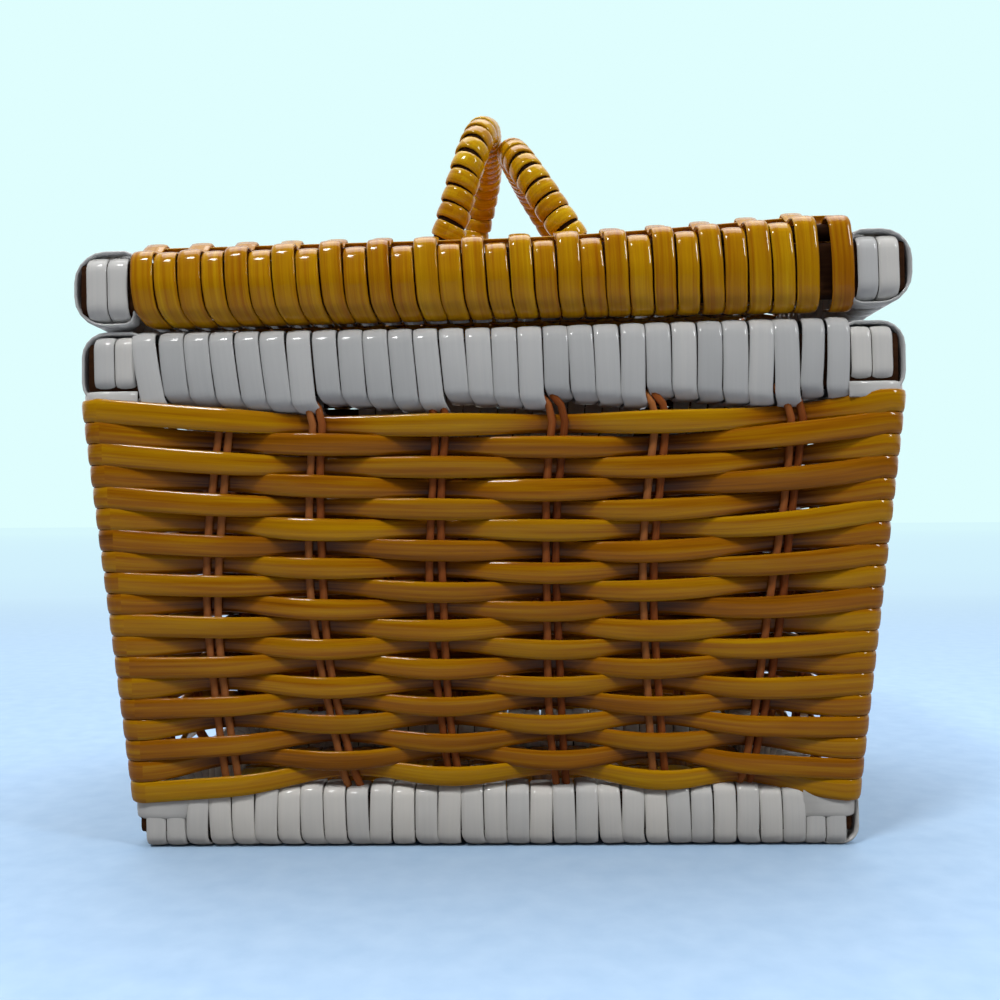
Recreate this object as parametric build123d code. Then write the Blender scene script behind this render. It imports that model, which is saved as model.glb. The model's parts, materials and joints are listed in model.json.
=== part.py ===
from build123d import *
import os
from math import acos, atan2, cos, degrees, hypot, radians, sin, tan

# Woven basket box bag: a tapered box, a lid hinged at the back and two wrapped loop handles.
# Millimetres. X is the width, -Y the front, +Z up, and the origin is under the middle of the base.

# Overall sizes, from the floor up
base_width = 200.0
base_depth = 120.0
base_height = 16.8
wall_height = 104.0
rim_width = 221.0
rim_depth = 141.0
rim_height = 20.8
lid_gap = 1.2
lid_overhang = 1.5  # of the lid past the rim on each side
lid_height = 20.7

# Wound bars: a frame of bent rods with flat strip wound round it
base_bar_depth = 12.0
rim_bar_depth = 13.0
lid_bar_depth = 13.0
strip_thickness = 1.0
wrap_pitch = 6.27
wrap_crown = 0.5
bar_chamfer = 1.5
core_corner_cut = 4.0
bare_end = 4.0  # core left bare at each end of a front or back bar
side_wrap_gap = 0.5  # between a side bar's wraps and the bar in front of it
end_turns = 2
end_wrap_pitch = 5.6
end_wrap_recess = 0.4
end_wrap_crown = 0.25
end_wrap_chamfer = 0.8
band_height = 3.5  # of the strip laid round a corner over the end wraps
band_thickness = 0.8
band_corner_cut = 4.0

# Woven wall
row_count = 19
top_row_overhang = 0.5  # of the top weaver past the rim
bottom_row_overhang = 1.25  # of the bottom weaver past the base
weaver_thickness = 1.2
weaver_corner_radius = 4.5
corner_turns = (0, 90)  # degrees round a corner
stake_radius = 1.0
stake_spacing = 3.0  # between the two rods of a pair
stake_play = 0.35
stake_sides = 6
front_stakes = 6
side_stakes = 3
post_radius = 2.5

# Panels
base_panel_thickness = 3.0
base_panel_lift = 2.0
base_reed_pitch = 11.0
lid_panel_thickness = 2.6
lid_panel_drop = 0.8  # below the top of the lid's bars
panel_crown = 0.6
raised_height = 1.8  # of every second turn along the lid's front, over the woven top's first strip
raised_width_share = 0.9  # of a turn

# Hinge: two loops of strip tie the lid's lower back rod to the rim's upper back rod
hinge_rod_radius = 3.0
hinge_clearance = 0.1
tie_thickness = 0.8
tie_width = 6.0
tie_side_gap = 1.0
tie_relief = 0.6
tie_offset = 62.0
swing_relief = 5.5  # room above the rod for the loop when the lid is open
loop_sides = 12  # flats round a bent strip

# Handles
handle_radius = 5.0
handle_sides = 8
handle_half_span = 38.0
handle_height = 46.5
handle_foot_radius = 10.0
handle_top_radius = 24.0
foot_bend_steps = 3
top_bend_steps = 5
handle_half_base = 24.5  # from the middle of the pair to a handle's foot bar
handle_shift = 9.2  # the pair is tied on a little right of the middle
right_handle_twist = 10.0  # degrees, clockwise from above; the left handle runs straight back
handle_lean = 16.0  # degrees, of the left handle towards the middle
handle_clearance = 0.3
handle_tie_offset = 17.0

# Heights that the pieces share
rim_bottom = base_height + wall_height
rim_top = rim_bottom + rim_height
lid_bottom = rim_top + lid_gap
lid_top = lid_bottom + lid_height
panel_top = lid_top - lid_panel_drop
handle_axis_z = panel_top + handle_radius + handle_clearance
lid_width = rim_width + 2 * lid_overhang
lid_depth = rim_depth + 2 * lid_overhang
row_height = wall_height / row_count
taper_x = (rim_width - base_width) / 2 + top_row_overhang - bottom_row_overhang
taper_y = (rim_depth - base_depth) / 2 + top_row_overhang - bottom_row_overhang
row_step_x = taper_x / (row_count - 1)
row_step_y = taper_y / (row_count - 1)
row_step = max(abs(row_step_x), abs(row_step_y))
weave_reach = stake_radius + stake_play + row_step / 2 + weaver_thickness / 2

pieces = {}


def wound_sleeve(length, turns, depth, height, crown, wall, edge):
    # Turns of strip along X round a bar, crowned on the outer side, -Y, with room for the core
    pitch = length / turns
    outline = [(-length / 2, depth / 2)]
    for turn in range(turns):
        left = turn * pitch - length / 2
        outline.append((left, crown - depth / 2))
        outline.append((left + pitch / 2, -depth / 2))
    outline.append((length / 2, crown - depth / 2))
    outline.append((length / 2, depth / 2))
    turned = extrude(make_face(Polyline(*outline, close=True)), height)
    section = Rectangle(depth, height)
    section = chamfer(section.vertices(), edge)
    bar = Pos(0, 0, height / 2) * extrude(Plane.YZ * section, length / 2, both=True)
    core = Pos(0, 0, height / 2) * Box(length, depth - 2 * wall, height - 2 * wall)
    return (turned & bar) - core


def turns_for(length, pitch):
    return max(round(length / pitch), 1)


def core_ring(width, depth, height, bar_depth):
    # The bent rods inside a frame, seen where the wraps stop at its corners
    outer = Rectangle(width - 2 * strip_thickness, depth - 2 * strip_thickness)
    outer = chamfer(outer.vertices(), core_corner_cut)
    inner_width = width - 2 * (bar_depth - strip_thickness)
    inner_depth = depth - 2 * (bar_depth - strip_thickness)
    ring = extrude(outer - Rectangle(inner_width, inner_depth), height - 2 * strip_thickness)
    return Pos(0, 0, strip_thickness) * ring


def back_stretches(length):
    # The back bar's wraps stop on both sides of each hinge tie
    gap = tie_width / 2 + tie_side_gap
    ends = [-length / 2, -tie_offset - gap, gap - tie_offset, tie_offset - gap, tie_offset + gap, length / 2]
    return [(ends[index], ends[index + 1]) for index in range(0, len(ends), 2)]


def wound_frame(name, width, depth, height, bar_depth, floor, tied):
    # Core, four wound bars and the small end wraps of one frame
    end_length = end_turns * end_wrap_pitch
    long_length = width - 2 * (bare_end + end_length)
    side_length = depth - 2 * (bar_depth + side_wrap_gap)
    half_y = (depth - bar_depth) / 2
    half_x = (width - bar_depth) / 2
    core = Pos(0, 0, floor) * core_ring(width, depth, height, bar_depth)
    pieces[name + "_core"] = core

    def sleeve(length):
        turns = turns_for(length, wrap_pitch)
        return wound_sleeve(length, turns, bar_depth, height, wrap_crown, strip_thickness, bar_chamfer)

    pieces[name + "_wrap_front"] = Pos(0, -half_y, floor) * sleeve(long_length)
    stretches = back_stretches(long_length) if tied else [(-long_length / 2, long_length / 2)]
    back = []
    for start, stop in stretches:
        back.append(Pos((start + stop) / 2, half_y, floor) * Rot(0, 0, 180) * sleeve(stop - start))
    pieces[name + "_wrap_back"] = Compound(children=back) if tied else back[0]
    pieces[name + "_wrap_left"] = Pos(-half_x, 0, floor) * Rot(0, 0, -90) * sleeve(side_length)
    pieces[name + "_wrap_right"] = Pos(half_x, 0, floor) * Rot(0, 0, 90) * sleeve(side_length)

    small = wound_sleeve(
        end_length,
        end_turns,
        bar_depth - 2 * end_wrap_recess,
        height - 2 * end_wrap_recess,
        end_wrap_crown,
        strip_thickness - end_wrap_recess,
        end_wrap_chamfer,
    )
    small = Pos((long_length + end_length) / 2, 0, floor + end_wrap_recess) * small
    ends = []
    for turn in (0, 180):
        ends.append(Rot(0, 0, turn) * Pos(0, -half_y, 0) * small - core)
        ends.append(Rot(0, 0, turn) * Pos(0, -half_y, 0) * mirror(small, about=Plane.YZ) - core)
    pieces[name + "_end_wraps"] = Compound(children=ends)


def corner_bands(width, depth, floor, bar_depth):
    # Strip laid flat round the four corners of a frame, over its end wraps
    proud = band_thickness - end_wrap_recess
    long_length = width - 2 * (bare_end + end_turns * end_wrap_pitch)
    side_length = depth - 2 * bar_depth
    outer = Rectangle(width + 2 * proud, depth + 2 * proud)
    outer = chamfer(outer.vertices(), band_corner_cut)
    inner = Rectangle(width - 2 * end_wrap_recess, depth - 2 * end_wrap_recess)
    inner = chamfer(inner.vertices(), band_corner_cut)
    ring = outer - inner - Rectangle(long_length, depth + 2 * band_thickness)
    ring -= Rectangle(width + 2 * band_thickness, side_length)
    return Pos(0, 0, floor) * extrude(ring, band_height)


def stake_places():
    # Every stake pair once round the wall, as shares of the wall's sides, from the front left corner
    places = [("front", index) for index in range(front_stakes)]
    places += [("right", index) for index in range(side_stakes)]
    places += [("back", index) for index in range(front_stakes)]
    places += [("left", index) for index in range(side_stakes)]
    return places


def wall_point(side, index, half_x, half_y, out):
    # Where a stake meets the wall's middle, moved outwards by out
    count = side_stakes if side in ("left", "right") else front_stakes
    run_share = 2 * (index + 1) / (count + 1) - 1
    if side == "front":
        return (run_share * half_x, -half_y - out)
    if side == "right":
        return (half_x + out, run_share * half_y)
    if side == "back":
        return (-run_share * half_x, half_y + out)
    return (-half_x - out, -run_share * half_y)


def row_outline(row, half_x, half_y, out):
    # A weaver's face: outside one stake, inside the next, and outside every corner
    reach = weave_reach + out
    corner_x = half_x + weave_reach - weaver_corner_radius
    corner_y = half_y + weave_reach - weaver_corner_radius
    radius = weaver_corner_radius + out
    corners = {
        "front": (corner_x, -corner_y, -90),
        "right": (corner_x, corner_y, 0),
        "back": (-corner_x, corner_y, 90),
        "left": (-corner_x, -corner_y, 180),
    }
    points = []
    places = stake_places()
    for number, (side, index) in enumerate(places):
        over = (number + row) % 2 == 0
        points.append(wall_point(side, index, half_x, half_y, reach if over else out - weave_reach))
        if number + 1 == len(places) or places[number + 1][0] != side:
            x, y, start = corners[side]
            for turn in corner_turns:
                angle = radians(start + turn)
                points.append((x + radius * cos(angle), y + radius * sin(angle)))
    return points


def half_sizes(z):
    # Half width and half depth of the wall's middle at a height
    rows_down = (rim_bottom - row_height / 2 - z) / row_height
    inset = weave_reach + weaver_thickness / 2 - top_row_overhang
    half_x = rim_width / 2 - inset - rows_down * row_step_x
    half_y = rim_depth / 2 - inset - rows_down * row_step_y
    return half_x, half_y


def woven_wall():
    rows = []
    for row in range(row_count):
        floor = rim_bottom - (row + 1) * row_height
        half_x, half_y = half_sizes(floor + row_height / 2)
        outer = make_face(Polyline(*row_outline(row, half_x, half_y, weaver_thickness / 2), close=True))
        inner = make_face(Polyline(*row_outline(row, half_x, half_y, -weaver_thickness / 2), close=True))
        rows.append(Pos(0, 0, floor) * extrude(outer - inner, row_height))
    return Compound(children=rows)


def slanted_rod(low, high, radius):
    foot = Pos(low[0], low[1], base_height) * RegularPolygon(radius, stake_sides)
    return Solid.extrude(foot.face(), Vector(high[0] - low[0], high[1] - low[1], wall_height))


def stake_pair(side, index):
    low = wall_point(side, index, *half_sizes(base_height), 0)
    high = wall_point(side, index, *half_sizes(rim_bottom), 0)
    along_x = side in ("front", "back")
    rods = []
    for shift in (-stake_spacing / 2, stake_spacing / 2):
        move = (shift, 0) if along_x else (0, shift)
        foot = (low[0] + move[0], low[1] + move[1])
        head = (high[0] + move[0], high[1] + move[1])
        rods.append(slanted_rod(foot, head, stake_radius))
    return rods


def corner_post(sign_x, sign_y):
    ends = []
    for z in (base_height, rim_bottom):
        half_x, half_y = half_sizes(z)
        inset = weave_reach - weaver_corner_radius
        ends.append((sign_x * (half_x + inset), sign_y * (half_y + inset)))
    return slanted_rod(ends[0], ends[1], post_radius)


def reed_panel(width, depth, thickness, reeds):
    # A plate with reeds along Y, crowned on top
    pitch = width / reeds
    outline = [(-width / 2, 0)]
    for reed in range(reeds):
        left = reed * pitch - width / 2
        outline.append((left, thickness - panel_crown))
        outline.append((left + pitch / 2, thickness))
    outline.append((width / 2, thickness - panel_crown))
    outline.append((width / 2, 0))
    return extrude(Plane.XZ * make_face(Polyline(*outline, close=True)), depth / 2, both=True)


def raised_strips():
    # Where every second turn of the lid's front bar goes over the first strip of the woven top
    length = lid_width - 2 * (bare_end + end_turns * end_wrap_pitch)
    turns = turns_for(length, wrap_pitch)
    pitch = length / turns
    strip = Box(pitch * raised_width_share, lid_bar_depth - 2 * bar_chamfer, raised_height)
    strips = []
    for turn in range(1, turns, 2):
        x = turn * pitch + (pitch - length) / 2
        strips.append(Pos(x, (lid_bar_depth - lid_depth) / 2, lid_top + raised_height / 2) * strip)
    return strips


def hinge_notch(core, rod_y, rod_z, back, lower, upper):
    # Opens a core round its hinge rod at both ties
    inside = rod_y - hinge_rod_radius - hinge_clearance - tie_thickness - tie_relief
    width = tie_width + 2 * tie_side_gap
    for place in (-tie_offset, tie_offset):
        room = Box(width, back - inside, upper - lower)
        room = Pos(place, (inside + back) / 2, (lower + upper) / 2) * room
        rod = Pos(place, rod_y, rod_z) * Rot(0, 90, 0) * Cylinder(hinge_rod_radius, width)
        core = core - (room - rod)
    return core


def strip_bend(radius):
    # Round outline of a bent strip, in flats that touch the radius
    return Rot(0, 0, 180 / loop_sides) * RegularPolygon(radius, loop_sides, major_radius=False)


def strip_slot(reach, radius):
    ends = Pos(-reach / 2, 0) * strip_bend(radius) + Pos(reach / 2, 0) * strip_bend(radius)
    return ends + Rectangle(reach, 2 * radius)


def hinge_tie(place, low, high):
    # A loop of strip round two rods, given as their (y, z) centres
    middle = (place, (low[0] + high[0]) / 2, (low[1] + high[1]) / 2)
    reach = hypot(high[0] - low[0], high[1] - low[1])
    inner = hinge_rod_radius + hinge_clearance
    loop = strip_slot(reach, inner + tie_thickness) - strip_slot(reach, inner)
    plane = Plane(origin=middle, x_dir=(0, high[0] - low[0], high[1] - low[1]), z_dir=(1, 0, 0))
    return extrude(plane * loop, tie_width / 2, both=True)


def handle_loop():
    # A closed loop in the YZ plane with its foot bar along Y at the origin
    bends = [
        (1, 0, handle_foot_radius, -90, foot_bend_steps),
        (1, 1, handle_top_radius, 0, top_bend_steps),
        (-1, 1, handle_top_radius, 90, top_bend_steps),
        (-1, 0, handle_foot_radius, 180, foot_bend_steps),
    ]
    points = [(0, 0, 0)]
    for hand, level, radius, start, steps in bends:
        middle_y = hand * (handle_half_span - radius)
        middle_z = handle_height - radius if level else radius
        for step in range(steps + 1):
            angle = radians(start + 90 * step / steps)
            points.append((0, middle_y + radius * cos(angle), middle_z + radius * sin(angle)))
    path = Polyline(*points, close=True)
    section = Plane(origin=points[0], z_dir=(0, 1, 0)) * RegularPolygon(handle_radius, handle_sides)
    return sweep(section, path=path, transition=Transition.RIGHT)


def handle_tie(y):
    # A strip arched over a handle's foot bar, standing on the lid panel
    inner = handle_radius + handle_clearance
    outer = inner + strip_thickness
    arch = strip_bend(outer) + Pos(0, -inner / 2) * Rectangle(2 * outer, inner)
    arch -= strip_bend(inner) + Pos(0, -inner) * Rectangle(2 * inner, 2 * inner)
    arch &= Pos(0, (outer - inner) / 2) * Rectangle(2 * outer, outer + inner)
    plane = Plane(origin=(0, y, 0), x_dir=(1, 0, 0), z_dir=(0, -1, 0))
    return extrude(plane * arch, tie_width / 2, both=True)


def right_handle_lean():
    # The right handle leans over until its near shoulder rests on the left one
    shoulder = handle_half_span - handle_top_radius
    feet_apart = 2 * handle_half_base - shoulder * tan(radians(right_handle_twist))
    top_x = handle_height * sin(radians(handle_lean)) - feet_apart
    top_z = handle_height * cos(radians(handle_lean))
    reach = hypot(top_x, top_z)
    touch = 2 * handle_radius + handle_clearance
    spread = acos((reach**2 + handle_height**2 - touch**2) / (2 * reach * handle_height))
    return degrees(atan2(-top_x, top_z) - spread)


# Basket
wound_frame("base", base_width, base_depth, base_height, base_bar_depth, 0, False)
wound_frame("rim", rim_width, rim_depth, rim_height, rim_bar_depth, rim_bottom, True)
base_band_floor = base_height - band_height
pieces["base_corner_bands"] = corner_bands(base_width, base_depth, base_band_floor, base_bar_depth)
pieces["rim_corner_bands"] = corner_bands(rim_width, rim_depth, rim_bottom, rim_bar_depth)
pieces["woven_wall"] = woven_wall()
floor_width = base_width - 2 * base_bar_depth
floor_depth = base_depth - 2 * base_bar_depth
floor_reeds = turns_for(floor_width, base_reed_pitch)
base_panel = reed_panel(floor_width, floor_depth, base_panel_thickness, floor_reeds)
pieces["base_panel"] = Pos(0, 0, base_panel_lift) * base_panel
for side in ("front", "back", "left", "right"):
    count = side_stakes if side in ("left", "right") else front_stakes
    rods = []
    for index in range(count):
        rods += stake_pair(side, index)
    pieces["stakes_" + side] = Compound(children=rods)
for end, sign_y in (("front", -1), ("back", 1)):
    for hand, sign_x in (("left", -1), ("right", 1)):
        pieces["corner_post_" + end + "_" + hand] = corner_post(sign_x, sign_y)

# Lid
wound_frame("lid", lid_width, lid_depth, lid_height, lid_bar_depth, lid_bottom, True)
pieces["lid_wrap_front"] += raised_strips()
top_width = lid_width - 2 * lid_bar_depth
top_depth = lid_depth - 2 * lid_bar_depth
lid_panel = reed_panel(top_width, top_depth, lid_panel_thickness, turns_for(top_width, wrap_pitch))
pieces["lid_panel"] = Pos(0, 0, panel_top - lid_panel_thickness) * lid_panel

# Hinge
rod_inset = strip_thickness + hinge_rod_radius
lid_rod = (lid_depth / 2 - rod_inset, lid_bottom + rod_inset)
rim_rod = (rim_depth / 2 - rod_inset, rim_top - rod_inset)
pieces["lid_core"] = hinge_notch(
    pieces["lid_core"], *lid_rod, lid_depth / 2, lid_bottom, lid_rod[1] + swing_relief
)
rim_reach = hinge_rod_radius + hinge_clearance + tie_thickness + tie_relief
pieces["rim_core"] = hinge_notch(
    pieces["rim_core"], *rim_rod, rim_depth / 2, rim_rod[1] - rim_reach, rim_top
)
pieces["hinge_tie_left"] = hinge_tie(-tie_offset, rim_rod, lid_rod)
pieces["hinge_tie_right"] = hinge_tie(tie_offset, rim_rod, lid_rod)

# Handles
handle_poses = {"left": (-1, 0, handle_lean), "right": (1, -right_handle_twist, -right_handle_lean())}
for hand, (sign_x, twist, lean) in handle_poses.items():
    seat = Pos(handle_shift + sign_x * handle_half_base, 0, handle_axis_z) * Rot(0, 0, twist)
    pieces[hand + "_handle"] = seat * Rot(0, lean, 0) * handle_loop()
    ties = [seat * handle_tie(place) for place in (-handle_tie_offset, handle_tie_offset)]
    pieces[hand + "_handle_ties"] = Compound(children=ties)

os.makedirs("parts", exist_ok=True)
for name, piece in pieces.items():
    export_step(piece, os.path.join("parts", name + ".step"))
print("right handle lean", round(right_handle_lean(), 2), "hinge", lid_rod, "handle axis", handle_axis_z)
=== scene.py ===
import json
import math
import random

import bmesh
import bpy
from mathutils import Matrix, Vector


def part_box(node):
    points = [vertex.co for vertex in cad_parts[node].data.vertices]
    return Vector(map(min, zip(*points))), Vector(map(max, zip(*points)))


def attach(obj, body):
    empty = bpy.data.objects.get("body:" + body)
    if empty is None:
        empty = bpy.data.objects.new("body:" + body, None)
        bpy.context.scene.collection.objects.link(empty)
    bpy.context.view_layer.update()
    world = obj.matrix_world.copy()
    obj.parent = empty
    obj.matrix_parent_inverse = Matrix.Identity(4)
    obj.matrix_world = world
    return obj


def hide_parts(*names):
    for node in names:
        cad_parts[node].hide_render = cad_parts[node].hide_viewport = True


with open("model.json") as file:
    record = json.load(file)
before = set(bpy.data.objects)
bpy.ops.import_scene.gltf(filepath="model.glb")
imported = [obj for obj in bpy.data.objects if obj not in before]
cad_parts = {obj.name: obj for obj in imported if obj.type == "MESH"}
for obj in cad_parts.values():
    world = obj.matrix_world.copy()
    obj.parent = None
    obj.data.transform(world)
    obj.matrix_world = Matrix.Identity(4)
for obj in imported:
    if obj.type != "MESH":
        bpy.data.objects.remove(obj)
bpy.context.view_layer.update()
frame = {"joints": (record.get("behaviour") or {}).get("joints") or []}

mm = 0.001
up = Vector((0, 0, 1))
dice = random.Random(48)

# Sides in the order the rows run: (along, outward)
sides = {
    "front": (Vector((1, 0, 0)), Vector((0, -1, 0))),
    "right": (Vector((0, 1, 0)), Vector((1, 0, 0))),
    "back": (Vector((-1, 0, 0)), Vector((0, 1, 0))),
    "left": (Vector((0, -1, 0)), Vector((-1, 0, 0))),
}
longSides = ("front", "back")


def mix(a, b, share):
    return a + (b - a) * share


def clamp(share):
    return min(1.0, max(0.0, share))


def smooth(share):
    share = clamp(share)
    return share * share * (3 - 2 * share)


def linear(code):
    parts = [int(code[k:k + 2], 16) / 255 for k in (1, 3, 5)]
    return [p / 12.92 if p < 0.04045 else ((p + 0.055) / 1.055) ** 2.4 for p in parts] + [1.0]


# Adds a node; a link may also be a plain number, and stops are the colours of a ramp
def addNode(tree, kind, links=(), stops=(), **values):
    node = tree.nodes.new(kind)
    for name, value in values.items():
        if name in node.bl_rna.properties:
            setattr(node, name, value)
        else:
            node.inputs[name.replace("_", " ")].default_value = value
    for socket, source in links:
        if isinstance(source, (int, float)):
            node.inputs[socket].default_value = source
        else:
            tree.links.new(source, node.inputs[socket])
    if stops:
        elements = node.color_ramp.elements
        while len(elements) < len(stops):
            elements.new(0.5)
        for element, (place, code) in zip(elements, stops):
            element.position = place
            element.color = linear(code)
    return node


def newMaterial(name):
    material = bpy.data.materials.new(name)
    material.use_nodes = True
    return material, material.node_tree, material.node_tree.nodes["Principled BSDF"]


# Fibres run along a peel. Real ones are a tenth as wide and wouldn't show, so they are drawn coarser
fibres = {"long": 62.5 * mm, "wide": 4 / 3 * mm, "cloudLong": 50 * mm, "cloudWide": 50 / 3 * mm}


def peelMaterial(name, stops, fibre, drift, rough, coat, gloss):
    material, tree, shader = newMaterial(name)
    strip = addNode(tree, "ShaderNodeUVMap", uv_map="strip").outputs["UV"]
    tone = addNode(tree, "ShaderNodeAttribute", attribute_name="tone").outputs["Fac"]
    fineScale = (1 / fibres["long"], 1 / fibres["wide"], 1)
    fine = addNode(tree, "ShaderNodeMapping", [("Vector", strip)], Scale=fineScale).outputs["Vector"]
    lines = addNode(tree, "ShaderNodeTexNoise", [("Vector", fine)], Scale=1.0, Detail=4.0, Roughness=0.65)
    broadScale = (1 / fibres["cloudLong"], 1 / fibres["cloudWide"], 1)
    broad = addNode(tree, "ShaderNodeMapping", [("Vector", strip)], Scale=broadScale).outputs["Vector"]
    cloud = addNode(tree, "ShaderNodeTexNoise", [("Vector", broad)], Scale=1.0, Detail=2.0)
    shade = tone
    for noise, weight in ((lines, fibre), (cloud, drift)):
        parts = [(0, noise.outputs["Fac"]), (1, weight), (2, shade)]
        shade = addNode(tree, "ShaderNodeMath", parts, operation="MULTIPLY_ADD").outputs[0]
    middle = [(0, shade), (1, (fibre + drift) / 2)]
    shade = addNode(tree, "ShaderNodeMath", middle, operation="SUBTRACT").outputs[0]
    colour = addNode(tree, "ShaderNodeValToRGB", [("Fac", shade)], stops)
    tree.links.new(colour.outputs["Color"], shader.inputs["Base Color"])
    ridges = [("Height", lines.outputs["Fac"])]
    bump = addNode(tree, "ShaderNodeBump", ridges, Strength=0.3, Distance=0.2 * mm)
    tree.links.new(bump.outputs["Normal"], shader.inputs["Normal"])
    shader.inputs["Roughness"].default_value = rough
    shader.inputs["IOR"].default_value = 1.2
    shader.inputs["Specular IOR Level"].default_value = gloss
    shader.inputs["Coat Weight"].default_value = coat
    shader.inputs["Coat Roughness"].default_value = 0.08
    shader.inputs["Coat IOR"].default_value = 1.35
    return material


# Ochre-stained peel under clear lacquer: brown fibre lines, small bright windows along the edges
ochrePeel = peelMaterial(
    "lacquered_ochre_peel",
    [(0, "#2a1201"), (0.25, "#663402"), (0.5, "#a36202"), (0.75, "#c28c04"), (1, "#deb414")],
    fibre=0.75, drift=0.38, rough=0.4, coat=1.0, gloss=0.05,
)

# White lacquered peel: even and cool, with faint fibres and a soft shine
whitePeel = peelMaterial(
    "white_lacquered_peel",
    [(0, "#b6b7b6"), (0.5, "#cbcbc9"), (1, "#e6e2da")],
    fibre=0.25, drift=0.3, rough=0.36, coat=0.8, gloss=0.05,
)

# Rattan rod, stained red-brown and hardly lacquered: streaked and nearly dull
stainedRod = peelMaterial(
    "stained_rattan_rod",
    [(0, "#5a260e"), (0.5, "#9a5428"), (1, "#c07e48")],
    fibre=0.5, drift=0.4, rough=0.42, coat=0.1, gloss=0.1,
)

# Bare rattan inside the frames: dull brown that reads as shadow between the turns
rattanCore = peelMaterial(
    "bare_rattan_core",
    [(0, "#1e120a"), (0.5, "#3c2415"), (1, "#5c3b22")],
    fibre=0.8, drift=0.3, rough=0.7, coat=0.0, gloss=0.1,
)


def newStrips():
    bm = bmesh.new()
    bm.loops.layers.uv.new("strip")
    bm.verts.layers.float.new("tone")
    return bm


# Section of a flat peel, flat below and crowned above, as shares of its width and thickness
flatShape = [
    (-0.45, 0.76), (-0.27, 0.96), (0, 1), (0.27, 0.96), (0.45, 0.76),
    (0.5, 0.45), (0.44, 0), (-0.44, 0), (-0.5, 0.45),
]


def flatSection(width, thick):
    return [(aside * width, out * thick) for aside, out in flatShape]


def roundSection(radius, count=8):
    angles = [k * math.tau / count for k in range(count)]
    return [(radius * math.sin(angle), radius * math.cos(angle)) for angle in angles]


# Lays one strip through its stations (place, outward, across), with one tone and maybe a painted shade along
# it
def layStrip(bm, stations, section, tone, closed=True, paintedShades=None):
    uvLayer, toneLayer = bm.loops.layers.uv["strip"], bm.verts.layers.float["tone"]
    count, around = len(stations), len(section)
    steps = count if closed else count - 1
    runs, rounds = [dice.random()], [dice.random()]
    for i in range(steps):
        runs.append(runs[-1] + (stations[(i + 1) % count][0] - stations[i][0]).length)
    for j in range(around):
        rounds.append(rounds[-1] + (Vector(section[(j + 1) % around]) - Vector(section[j])).length)
    verts = bmesh.ops.create_grid(bm, x_segments=steps, y_segments=around, size=1.0)["verts"]
    faces = {face for vert in verts for face in vert.link_faces}
    places = {}
    for vert in verts:
        places[vert] = (round((vert.co.x + 1) / 2 * steps), round((vert.co.y + 1) / 2 * around))
    for face in faces:
        face.smooth = True
        for loop in face.loops:
            i, j = places[loop.vert]
            loop[uvLayer].uv = (runs[i], rounds[j])
    for vert, (i, j) in places.items():
        place, outward, across = stations[i % count]
        aside, out = section[j % around]
        vert.co = place + across * aside + outward * out
        vert[toneLayer] = tone + (paintedShades[i % count] if paintedShades else 0)
    bmesh.ops.remove_doubles(bm, verts=verts, dist=1e-6)
    if not closed:
        rims = {edge for face in faces if face.is_valid for edge in face.edges if edge.is_boundary}
        bmesh.ops.holes_fill(bm, edges=list(rims))


# The hand-made lean: rim and lid edge stand a little higher on the right in front, and true at the hinge
handLean = {
    "basket": 0.0102, "from": 20 * mm, "over": 143.5 * mm, "reach": 50 * mm,
    "lid": 0.022, "lidLift": 0.9 * mm, "sideEdge": 86 * mm, "sideFade": 10 * mm,
    "frontEdge": 47 * mm, "frontFade": 12 * mm,
}


def finishStrips(bm, name, material, body, slot, *nodes):
    for vert in bm.verts:
        x, y, z = vert.co
        fade = clamp(0.5 - y / (2 * handLean["reach"]))
        if body == "basket":
            share = clamp((z - handLean["from"]) / handLean["over"])
            vert.co.z += handLean["basket"] * x * share * fade
        elif body == "lid":
            atSide = smooth((abs(x) - handLean["sideEdge"]) / handLean["sideFade"])
            atFront = smooth((-handLean["frontEdge"] - y) / handLean["frontFade"])
            vert.co.z += (handLean["lid"] * x + handLean["lidLift"]) * fade * max(atSide, atFront)
    bmesh.ops.recalc_face_normals(bm, faces=bm.faces)
    mesh = bpy.data.meshes.new(name)
    bm.to_mesh(mesh)
    bm.free()
    mesh.materials.append(material)
    piece = bpy.data.objects.new(name, mesh)
    bpy.context.scene.collection.objects.link(piece)
    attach(piece, body)
    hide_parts(*nodes)


def framesAlong(points, outward):
    stations = []
    for k, point in enumerate(points):
        ahead = (points[min(k + 1, len(points) - 1)] - points[max(k - 1, 0)]).normalized()
        across = ahead.cross(outward).normalized()
        stations.append((point, across.cross(ahead).normalized(), across))
    return stations


# The woven wall: flat rows in and out of the stakes, fanned towards the corners.
# On the front they sag in the middle, and on the back they are broader and close over the base
wall = {
    "rows": 19, "width": 5.65 * mm, "thickness": 1.15 * mm, "reach": 1.85 * mm, "corner": 4.5 * mm,
    "step": 2.6 * mm, "overhang": 2.25 * mm,
    "topMid": -1.2 * mm, "topCorner": 2.0 * mm, "lowMid": 1.4 * mm, "lowCorner": -4.2 * mm, "fan": 2.6,
    "narrow": 0.86, "broad": 1.06, "upper": 1.04, "lower": 0.92, "fanWidth": 0.8, "dipPaintedShade": -0.3,
    "sag": 3.7 * mm, "sagLevel": 0.42, "sagRight": 0.4, "weaveDrop": 1.1 * mm, "topDrop": 0.1,
    "backBroad": 1.12, "backHem": 1.45, "backDrop": 0.8 * mm,
    "ripple": 0.3 * mm, "rippleLong": 19 * mm, "twist": 0.1, "twistLong": 27 * mm,
}
baseTop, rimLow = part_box("base_core")[1].z + mm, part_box("rim_core")[0].z - mm
wallHeight, lowest = rimLow - baseTop, wall["rows"] - 1
inset = Vector((1, 1)) * (wall["reach"] + wall["thickness"])
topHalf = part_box("woven_wall")[1].xy - inset
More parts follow.
